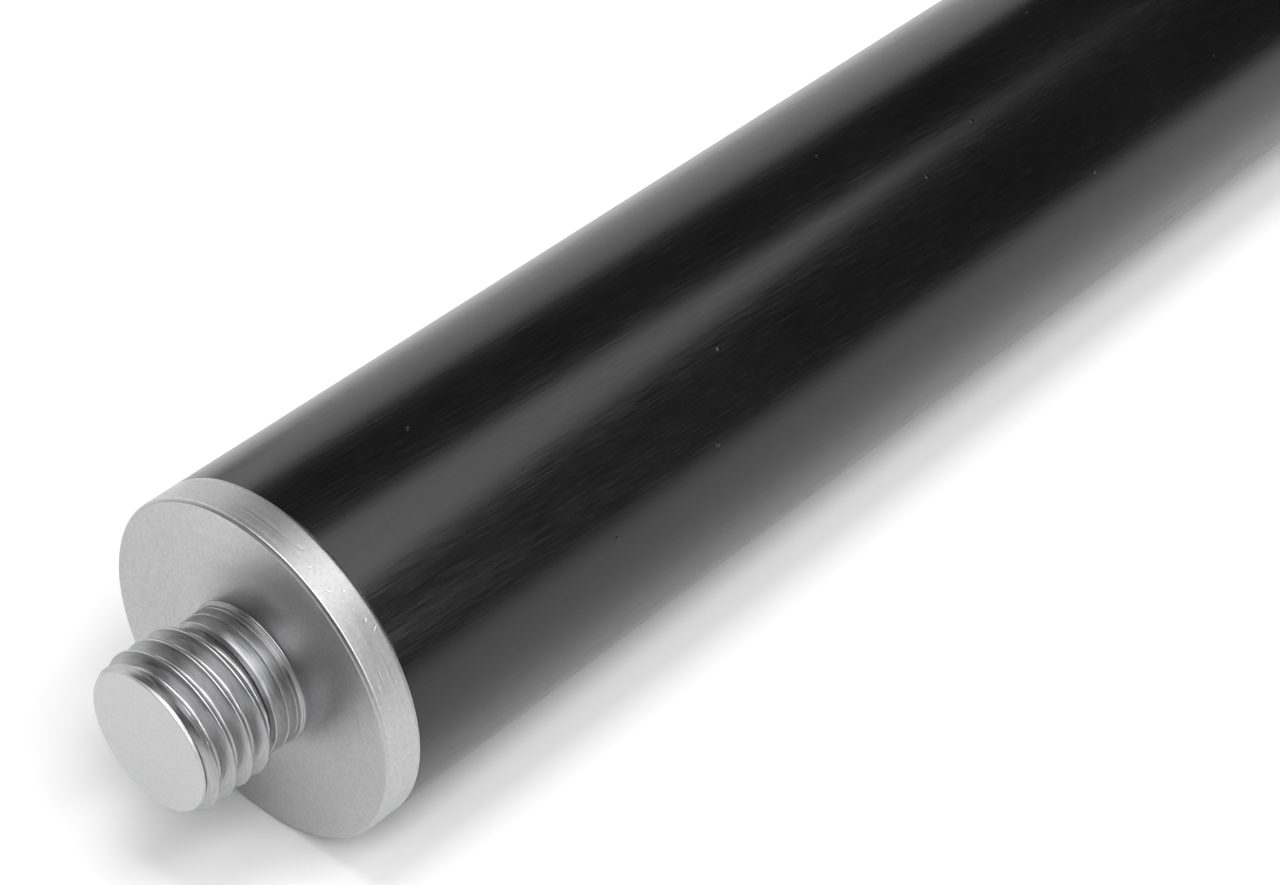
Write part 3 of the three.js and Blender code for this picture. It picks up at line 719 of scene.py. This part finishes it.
def make_stud_thread():
    """The thread, with a chamfer at the stud's end and a run-out at its neck."""
    stud_end = first_x("rod_end_plug")
    length = shoulder_x() - NECK_LENGTH - 0.5 - stud_end
    chamfer_slope, run_out_radius, run_out_slope = 0.62, 8.3, 1.3

    def limit(x):
        chamfer = STUD_FACE_RADIUS + chamfer_slope * x
        run_out = run_out_radius + run_out_slope * np.maximum(length - x, 0)
        return np.minimum(chamfer, run_out)

    thread = threaded_bar(
        "stud_thread",
        stud_end + 0.1,
        length,
        STUD_PITCH,
        stud_profile(),
        limit,
        first=CREST_AT_TOP - STUD_PITCH / 2,
        segments=192,
    )
    fitted(thread, "rod_end_plug", "thrust_rod", THREAD_STEEL)


def make_stud_end_face():
    start = first_x("rod_end_plug")
    end = start + 0.5
    face = lathe(
        "stud_end_face",
        [
            (start, 0),
            (start, STUD_FACE_RADIUS, 0.14),
            (end, STUD_FACE_RADIUS, 0.05),
            (end, 0),
        ],
    )
    fitted(face, "rod_end_plug", "thrust_rod", FACED_STEEL)


def make_rod_end_plug():
    make_plug()
    make_stud_neck()
    make_stud_thread()
    make_stud_end_face()


# ---- Screws and small parts ----


def cap_screw(name, thread_radius, length, knurls=40):
    """A hexagon socket cap screw with a knurled head. Its seat is at x 0 and its head towards +X."""
    head = thread_radius * 1.75
    height = thread_radius * 2
    knurl_depth = 0.22
    made = lathe(
        name,
        [
            (-length, 0),
            (-length, thread_radius, 0.3),
            (0, thread_radius, 0.1),
            (0, head, 0.15),
            (0.12 * height, head),
            (0.8 * height, head),
            (height, head, 0.12 * height),
            (height, 0),
        ],
        2 * knurls,
    )
    for vertex in made.data.vertices:
        x, y, z = vertex.co / MM
        on_side = math.hypot(y, z) > head - 0.01 and 0 < x < 0.85 * height
        in_valley = round(math.degrees(math.atan2(z, y)) / 360 * 2 * knurls) % 2
        if on_side and in_valley:
            vertex.co.yz *= (head - knurl_depth) / head
    hexagon = polygon(thread_radius * 0.87, 6, 30)
    socket = prism("socket", hexagon, height - thread_radius * 1.1, height + 1)
    return carved(made, socket)


def make_nut_screws():
    for i in range(1, NUT_SCREWS + 1):
        node = f"nut_screw_{i}"
        spot = centre(node)
        screw = cap_screw(f"flange_screw_{i}", NUT_SCREW_RADIUS, NUT_SCREW_LENGTH)
        shifted(screw, last_x("ball_nut") + SCREW_HEAD_GAP, spot.y, spot.z)
        fitted(screw, node, "thrust_rod", BLACK_OXIDE)


def make_cover_screws():
    for i in range(1, COVER_SCREWS + 1):
        node = f"cover_screw_{i}"
        spot = centre(node)
        screw = cap_screw(f"cover_cap_screw_{i}", COVER_SCREW_RADIUS, COVER_SCREW_LENGTH, knurls=32)
        shifted(screw, last_x("bearing_cover") + SCREW_HEAD_GAP, spot.y, spot.z)
        fitted(screw, node, "bearing_unit", BLACK_OXIDE)


def make_grease_nipple():
    """Made lying along X and then stood up on the nut's top flat."""
    foot = NUT_FLANGE_HALF_HEIGHT + 0.3
    hexagon_radius, hexagon_height = 4, 2.6
    turned = lathe(
        "nipple",
        [
            (-4, 0),
            (-4, 3, 0.3),
            (0.1, 3),
            (0.1, 2.4),
            (2.4, 2.4),
            (hexagon_height, 2.2, 0.2),
            (4.2, 2.2, 0.3),
            (4.8, 1.5, 0.3),
            (5.4, 2.1, 0.3),
            (6.3, 2.1, 0.4),
            (7, 1.4, 0.3),
            (7, 0.55, 0.1),
            (6.7, 0.4),
            (6.7, 0),
        ],
        SMALL_SEGMENTS,
    )
    hexagon = prism("hexagon", polygon(hexagon_radius, 6, 30), 0, hexagon_height)
    rounding = lathe(
        "rounding",
        [
            (0, 0),
            (0, hexagon_radius - 0.6),
            (0.5, hexagon_radius + 0.1),
            (hexagon_height - 0.5, hexagon_radius + 0.1),
            (hexagon_height, hexagon_radius - 0.6),
            (hexagon_height, 0),
        ],
        SMALL_SEGMENTS,
    )
    carved(hexagon, rounding, operation="INTERSECT")
    nipple = joined("grease_nipple", turned, hexagon)
    moved(nipple, Matrix.Rotation(-math.pi / 2, 4, "Y"))
    shifted(nipple, centre("nut_grease_nipple").x, 0, foot)
    fitted(nipple, "nut_grease_nipple", "thrust_rod", BRASS)


# ---- The ball nut ----


def make_ball_nut():
    start, end = first_x("ball_nut"), last_x("ball_nut")
    flange = end - NUT_FLANGE_THICKNESS
    recess = 3.7  # for the wiper at each end
    nut = lathe(
        "nut",
        [
            (start, NUT_WIPER_SEAT, 0.2),
            (start, NUT_RADIUS, 0.5),
            (flange, NUT_RADIUS, 0.3),
            (flange, NUT_FLANGE_RADIUS, 0.6),
            (end, NUT_FLANGE_RADIUS, 0.6),
            (end, NUT_WIPER_SEAT, 0.3),
            (end - recess, NUT_WIPER_SEAT, 0.1),
            (end - recess, NUT_BORE, 0.2),
            (start + recess, NUT_BORE, 0.2),
            (start + recess, NUT_WIPER_SEAT, 0.1),
        ],
    )
    section = rectangle(NUT_FLANGE_RADIUS + 6, NUT_FLANGE_HALF_HEIGHT)
    flats = prism("flats", section, start - 1, end + 1)
    carved(nut, flats, operation="INTERSECT")
    bevelled(nut, 0.5, 50)
    fitted(nut, "ball_nut", "thrust_rod", NUT_STEEL)


def make_wiper(node, mirrored):
    """A plastic ring that wipes the screw's thread. Mirrored, its wide chamfer faces the stud."""
    length = 3.4
    bore = SCREW_RADIUS + 0.15
    outer = NUT_WIPER_SEAT - 0.3
    outline = [
        (0, bore + 0.5, 0.1),
        (0, outer, 0.3),
        (length, outer, 0.3),
        (length, bore + 1.1, 0.2),
        (length - 0.9, bore, 0.15),
        (0.8, bore, 0.1),
    ]
    wiper = lathe(node + "_ring", outline)
    if mirrored:
        moved(wiper, Matrix.Rotation(math.pi, 4, "Z"))
        shifted(wiper, length)
    shifted(wiper, first_x(node))
    fitted(wiper, node, "thrust_rod", ACETAL)


# ---- The ball screw and what turns with it ----


def groove_profile():
    """One lead of the screw: the ball groove, an arc a little larger than the ball, then the land.
    It also returns the x of the groove's middle."""
    radius = BALL_RADIUS + 0.12
    half = 1.7
    middle = half + 0.05
    half_turn = math.asin(half / radius)
    steps = 10
    outline = []
    for i in range(steps + 1):
        angle = half_turn * (2 * i / steps - 1)
        x = middle + radius * math.sin(angle)
        outline.append((x, BALL_CENTRE + 0.05 - radius * math.cos(angle)))
    rounding = 0.12
    outline.append((middle + half + rounding, SCREW_RADIUS))
    outline.append((middle + SCREW_LEAD - half - rounding, SCREW_RADIUS))
    return outline, middle


def make_screw_thread(start, end):
    length = end - start
    profile, middle = groove_profile()

    def limit(x):
        start_chamfer = np.maximum(0, 1 - x)
        end_chamfer = np.maximum(0, x - length + 0.6)
        return SCREW_RADIUS - start_chamfer - end_chamfer

    first = GROOVE_AT_TOP - middle
    thread = threaded_bar("screw_thread", start, length, SCREW_LEAD, profile, limit, first)
    fitted(thread, "ball_screw", "screw_shaft", GROUND_STEEL)


def make_screw_tip(start, end):
    """The plain end that the guide bush sits on."""
    outline = [
        (start, 0),
        (start, TIP_RADIUS, 0.5),
        (end, TIP_RADIUS),
        (end, 0),
    ]
    fitted(lathe("journals", outline), "ball_screw", "screw_shaft", GROUND_STEEL)


def make_drive_journal(start):
    """The bearings' seat and the drive end, with its keyway and its centre hole."""
    bearing_seat = first_x("bearing_housing") + 1.2
    end = last_x("ball_screw")
    drive = end - 25
    journal = lathe(
        "drive_journal",
        [
            (start - 0.5, 0),
            (start - 0.5, SCREW_RADIUS - 1.1),
            (start + 0.6, SCREW_RADIUS, 0.2),
            (bearing_seat, SCREW_RADIUS, 0.3),
            (bearing_seat, SCREW_SEAT_RADIUS),
            (drive, SCREW_SEAT_RADIUS, 0.5),
            (drive, DRIVE_RADIUS, 0.3),
            (end, DRIVE_RADIUS, 0.6),
            (end, 1.9, 0.1),
            (end - 1.6, 0.9),
            (end - 4, 0.8),
            (end - 4.4, 0),
        ],
    )
    key_start, key_end = first_x("drive_key"), last_x("drive_key")
    key_gap = 0.1
    keyway = stadium(
        "keyway",
        KEYWAY_WIDTH,
        key_start - key_gap,
        key_end + key_gap,
        KEYWAY_BOTTOM,
        DRIVE_RADIUS + 1,
    )
    carved(journal, keyway)
    bevelled(journal, 0.12, 60)
    fitted(journal, "ball_screw", "screw_shaft", GROUND_STEEL)


def make_ball_screw():
    tip = first_x("ball_screw")
    thread_start = tip + 10.4
    thread_end = first_x("bearing_housing") - 4
    make_screw_thread(thread_start, thread_end)
    make_screw_tip(tip, thread_start + 1)
    make_drive_journal(thread_end)


def make_drive_key():
    low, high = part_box("drive_key")
    key = stadium("parallel_key", KEY_WIDTH, low.x / MM, high.x / MM, low.z / MM, high.z / MM)
    bevelled(key, 0.2, 60)
    fitted(key, "drive_key", "screw_shaft", FACED_STEEL)


def make_lock_nut():
    start, end = first_x("lock_nut"), last_x("lock_nut")
    flat = LOCK_NUT_FLATS / 2
    corner = LOCK_NUT_FLATS / math.sqrt(3)
    nut = prism("bearing_lock_nut", polygon(corner, 6, 0), start, end)
    rounding = lathe(
        "rounding",
        [
            (start, 0),
            (start, flat - 0.2),
            (start + 0.9, corner),
            (end - 0.9, corner),
            (end, flat - 0.2),
            (end, 0),
        ],
    )
    carved(nut, rounding, operation="INTERSECT")
    bore = plain_pin("bore", start - 1, end + 1, SCREW_SEAT_RADIUS + 0.2, SEGMENTS)
    middle = (start + end) / 2
    outside = 2 * SCREW_SEAT_RADIUS  # past the nut's corners
    holes = []
    for side in (1, -1):
        hole = plain_pin("hole", SCREW_SEAT_RADIUS - 1, outside, SET_SCREW_RADIUS + 0.2)
        moved(hole, Matrix.Rotation(side * math.pi / 2, 4, "Z"))
        holes.append(shifted(hole, middle))
    carved(nut, bore, *holes)
    bevelled(nut, 0.2, 28)
    fitted(nut, "lock_nut", "screw_shaft", BLACK_OXIDE)
    make_set_screw(1, middle, 1)
    make_set_screw(2, middle, -1)


def make_set_screw(number, x, side):
    """A hexagon socket set screw in the lock nut, on the +Y side (1) or the -Y side (-1)."""
    inner = SCREW_SEAT_RADIUS + 0.4
    outer = LOCK_NUT_FLATS / 2 - 0.4
    outline = [
        (inner, 0),
        (inner, SET_SCREW_RADIUS, 0.2),
        (outer, SET_SCREW_RADIUS, 0.3),
        (outer, 0),
    ]
    screw = lathe(f"grub_screw_{number}", outline, SMALL_SEGMENTS)
    carved(screw, prism("socket", polygon(1.1, 6), outer - 1.5, outer + 1))
    moved(screw, Matrix.Rotation(side * math.pi / 2, 4, "Z"))
    shifted(screw, x)
    node = f"lock_nut_set_screw_{number}"
    fitted(screw, node, "screw_shaft", BLACK_OXIDE)


# ---- The bearing unit ----


def make_bearing_housing():
    start, end = first_x("bearing_housing"), last_x("bearing_housing")
    flange = end - HOUSING_FLANGE_THICKNESS
    undercut_start, undercut_radius = flange - 1.6, HOUSING_RADIUS - 0.4
    step = start + 6.6  # between the seal's seat and the bearings'
    housing = lathe(
        "housing",
        [
            (start, SEAL_SEAT, 0.3),
            (start, HOUSING_RADIUS, 0.8),
            (undercut_start, HOUSING_RADIUS, 0.2),
            (undercut_start, undercut_radius, 0.2),
            (flange, undercut_radius, 0.2),
            (flange, HOUSING_FLANGE_RADIUS, 0.6),
            (end, HOUSING_FLANGE_RADIUS, 0.6),
            (end, BEARING_SEAT, 0.3),
            (step, BEARING_SEAT, 0.2),
            (step, SEAL_SEAT, 0.2),
        ],
    )
    section = rectangle(HOUSING_FLANGE_RADIUS + 10, HOUSING_HALF_HEIGHT)
    flats = prism("flats", section, start - 1, end + 1)
    carved(housing, flats, operation="INTERSECT")
    holes = []
    for degrees in HOUSING_BOLT_DEGREES:
        angle = math.radians(degrees)
        hole = plain_pin("hole", flange - 1, end + 1, HOUSING_BOLT_RADIUS)
        y = HOUSING_BOLT_CIRCLE * math.cos(angle)
        z = HOUSING_BOLT_CIRCLE * math.sin(angle)
        holes.append(shifted(hole, 0, y, z))
    carved(housing, *holes)
    bevelled(housing, 0.4, 50)
    fitted(housing, "bearing_housing", "bearing_unit", HOUSING_STEEL)


def make_bearing_cover():
    start, end = first_x("bearing_cover"), last_x("bearing_cover")
    plate = end - COVER_THICKNESS
    bore, groove_inner, groove_outer, groove_depth = 10, 10.6, 13.6, 0.4
    cover = lathe(
        "cover",
        [
            (start, SEAL_SEAT, 0.2),
            (start, COVER_PILOT_RADIUS, 0.3),
            (plate, COVER_PILOT_RADIUS, 0.1),
            (plate, COVER_RADIUS, 0.2),
            (end, COVER_RADIUS, 0.6),
            (end, groove_outer, 0.1),
            (end - groove_depth, groove_outer - groove_depth, 0.1),
            (end - groove_depth, groove_inner + groove_depth, 0.1),
            (end, groove_inner, 0.1),
            (end, bore, 0.2),
            (end - 1, bore, 0.1),
            (end - 1, SEAL_SEAT, 0.1),
        ],
    )
    fitted(cover, "bearing_cover", "bearing_unit", TURNED_STEEL)


def make_travel_stop():
    start, end = first_x("travel_stop_ring"), last_x("travel_stop_ring")
    inner, outer = 10, 14.5
    outline = [
        (start, inner, 0.8),
        (start, outer, 1.2),
        (end, outer, 0.4),
        (end, inner, 0.4),
    ]
    stop = lathe("stop_ring", outline)
    fitted(stop, "travel_stop_ring", "bearing_unit", POLYURETHANE)


def make_oil_seal(node):
    """A rubber ring that narrows to a lip on the collar."""
    start, end = first_x(node), last_x(node)
    middle = (start + end) / 2
    lip, outer = 9.6, SEAL_SEAT - 0.2
    seal = lathe(
        node + "_lip",
        [
            (start, 10.3, 0.2),
            (start, outer, 0.3),
            (end, outer, 0.3),
            (end, 10.2, 0.2),
            (middle + 0.3, lip, 0.15),
            (middle - 0.3, lip, 0.15),
        ],
    )
    fitted(seal, node, "bearing_unit", RUBBER)


# ---- The inner pieces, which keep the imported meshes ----

INNER_MATERIALS = {
    "plug_o_ring": RUBBER,
    "tip_guide_bush": ACETAL,
    "tip_washer": TURNED_STEEL,
    "tip_screw": BLACK_OXIDE,
    "front_collar": TURNED_STEEL,
    "rear_collar": TURNED_STEEL,
    "bearing_inner_ring_front": BEARING_STEEL,
    "bearing_inner_ring_rear": BEARING_STEEL,
    "bearing_outer_ring_front": BEARING_STEEL,
    "bearing_outer_ring_rear": BEARING_STEEL,
    "bearing_ball_set_front": BEARING_STEEL,
    "bearing_ball_set_rear": BEARING_STEEL,
    "ball_circuit_1": BEARING_STEEL,
    "ball_circuit_2": BEARING_STEEL,
    "ball_circuit_3": BEARING_STEEL,
    "ball_deflector_1": NUT_STEEL,
    "ball_deflector_2": NUT_STEEL,
    "ball_deflector_3": NUT_STEEL,
}


def dress_inner_pieces():
    """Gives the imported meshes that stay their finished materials."""
    for node, material in INNER_MATERIALS.items():
        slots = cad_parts[node].data.materials
        slots.clear()
        slots.append(material)


make_thrust_tube()
make_rod_end_plug()
make_nut_screws()
make_cover_screws()
make_grease_nipple()
make_ball_nut()
make_wiper("nut_wiper_front", mirrored=True)
make_wiper("nut_wiper_rear", mirrored=False)
make_ball_screw()
make_drive_key()
make_lock_nut()
make_bearing_housing()
make_bearing_cover()
make_travel_stop()
make_oil_seal("front_oil_seal")
make_oil_seal("rear_oil_seal")
dress_inner_pieces()

# ---- Floor, light and camera ----

SHOULDER = Vector((shoulder_x(), 0, 0)) * MM

# In metres
FLOOR_SIZE = 6
SHEET_MIDDLE = Vector((0.2, 0.92))
SHEET_RADIUS = 1.03
SHEET_FADE = 0.2  # the width of its soft edge


def make_floor():
    """A wide white sheet, mostly behind the part, on a floor that is grey beyond the sheet's edge."""
    bpy.ops.mesh.primitive_plane_add(size=FLOOR_SIZE)
    floor = bpy.context.object
    floor.name = "floor"
    floor.location = (0, 0, -TUBE_RADIUS * MM)
    surface = Surface("white_floor", (0.92, 0.92, 0.92), 0.9)
    surface.shader.inputs["Specular IOR Level"].default_value = 0
    _, x, y, _ = surface.place()
    along = surface.math("SUBTRACT", x, SHEET_MIDDLE.x)
    across = surface.math("SUBTRACT", y, SHEET_MIDDLE.y)
    out = surface.distance(along, across)
    white, grey = (0.95, 0.95, 0.95), (0.35, 0.35, 0.35)
    surface.colours(out, white, grey, SHEET_RADIUS, SHEET_RADIUS + SHEET_FADE)
    floor.data.materials.append(surface.material)


def direction(heading, elevation):
    """The direction to a point at a heading from +X towards +Y and an elevation, in degrees."""
    a, e = math.radians(heading), math.radians(elevation)
    return Vector((math.cos(a) * math.cos(e), math.sin(a) * math.cos(e), math.sin(e)))


def panel(name, heading, elevation, distance, size, brightness):
    """A rectangular light that faces the plug, with an even brightness over its face."""
    width, height = size
    light = bpy.data.lights.new(name, "AREA")
    light.shape = "RECTANGLE"
    light.size, light.size_y = width, height
    light.energy = brightness * math.pi * width * height
    lamp = bpy.data.objects.new(name, light)
    towards = direction(heading, elevation)
    lamp.location = SHOULDER + towards * distance
    lamp.rotation_euler = towards.to_track_quat("Z", "Y").to_euler()
    bpy.context.scene.collection.objects.link(lamp)


def make_lights():
    world = bpy.data.worlds.new("room")
    world.use_nodes = True
    background = world.node_tree.nodes["Background"]
    background.inputs["Color"].default_value = (1, 1, 1, 1)
    background.inputs["Strength"].default_value = 0.02
    bpy.context.scene.world = world
    panel("front_softbox", heading=-98, elevation=54, distance=1.5, size=(1.7, 0.75), brightness=4.4)
    panel("right_softbox", heading=-35, elevation=57, distance=1.4, size=(0.9, 0.6), brightness=2.2)
    panel("top_softbox", heading=0, elevation=85, distance=1.4, size=(0.6, 0.6), brightness=8)
    panel("rear_left_wall", heading=90, elevation=20, distance=1.6, size=(1.7, 1.23), brightness=1.6)
    panel("rear_wall", heading=46, elevation=14, distance=1.6, size=(0.8, 0.85), brightness=1)
    panel("left_panel", heading=172, elevation=26, distance=1.5, size=(0.6, 0.5), brightness=1.6)
    panel("low_front_strip", heading=-76, elevation=19, distance=1.5, size=(0.5, 0.28), brightness=13)


def make_camera():
    """Looks along the tube and down on it from beyond the stud, with the stud at the lower left."""
    heading, elevation, distance = 41.61, 38.67, 0.3867
    aim = SHOULDER + Vector((60.9, -5.5, 0)) * MM
    data = bpy.data.cameras.new("camera")
    data.sensor_width = 36
    data.lens = 87.42
    data.clip_start = 0.01
    camera = bpy.data.objects.new("camera", data)
    back = direction(heading + 180, elevation)
    camera.location = aim + back * distance
    camera.rotation_euler = back.to_track_quat("Z", "Y").to_euler()
    bpy.context.scene.collection.objects.link(camera)
    bpy.context.scene.camera = camera


make_floor()
make_lights()
make_camera()
bpy.context.scene.view_settings.view_transform = "Standard"
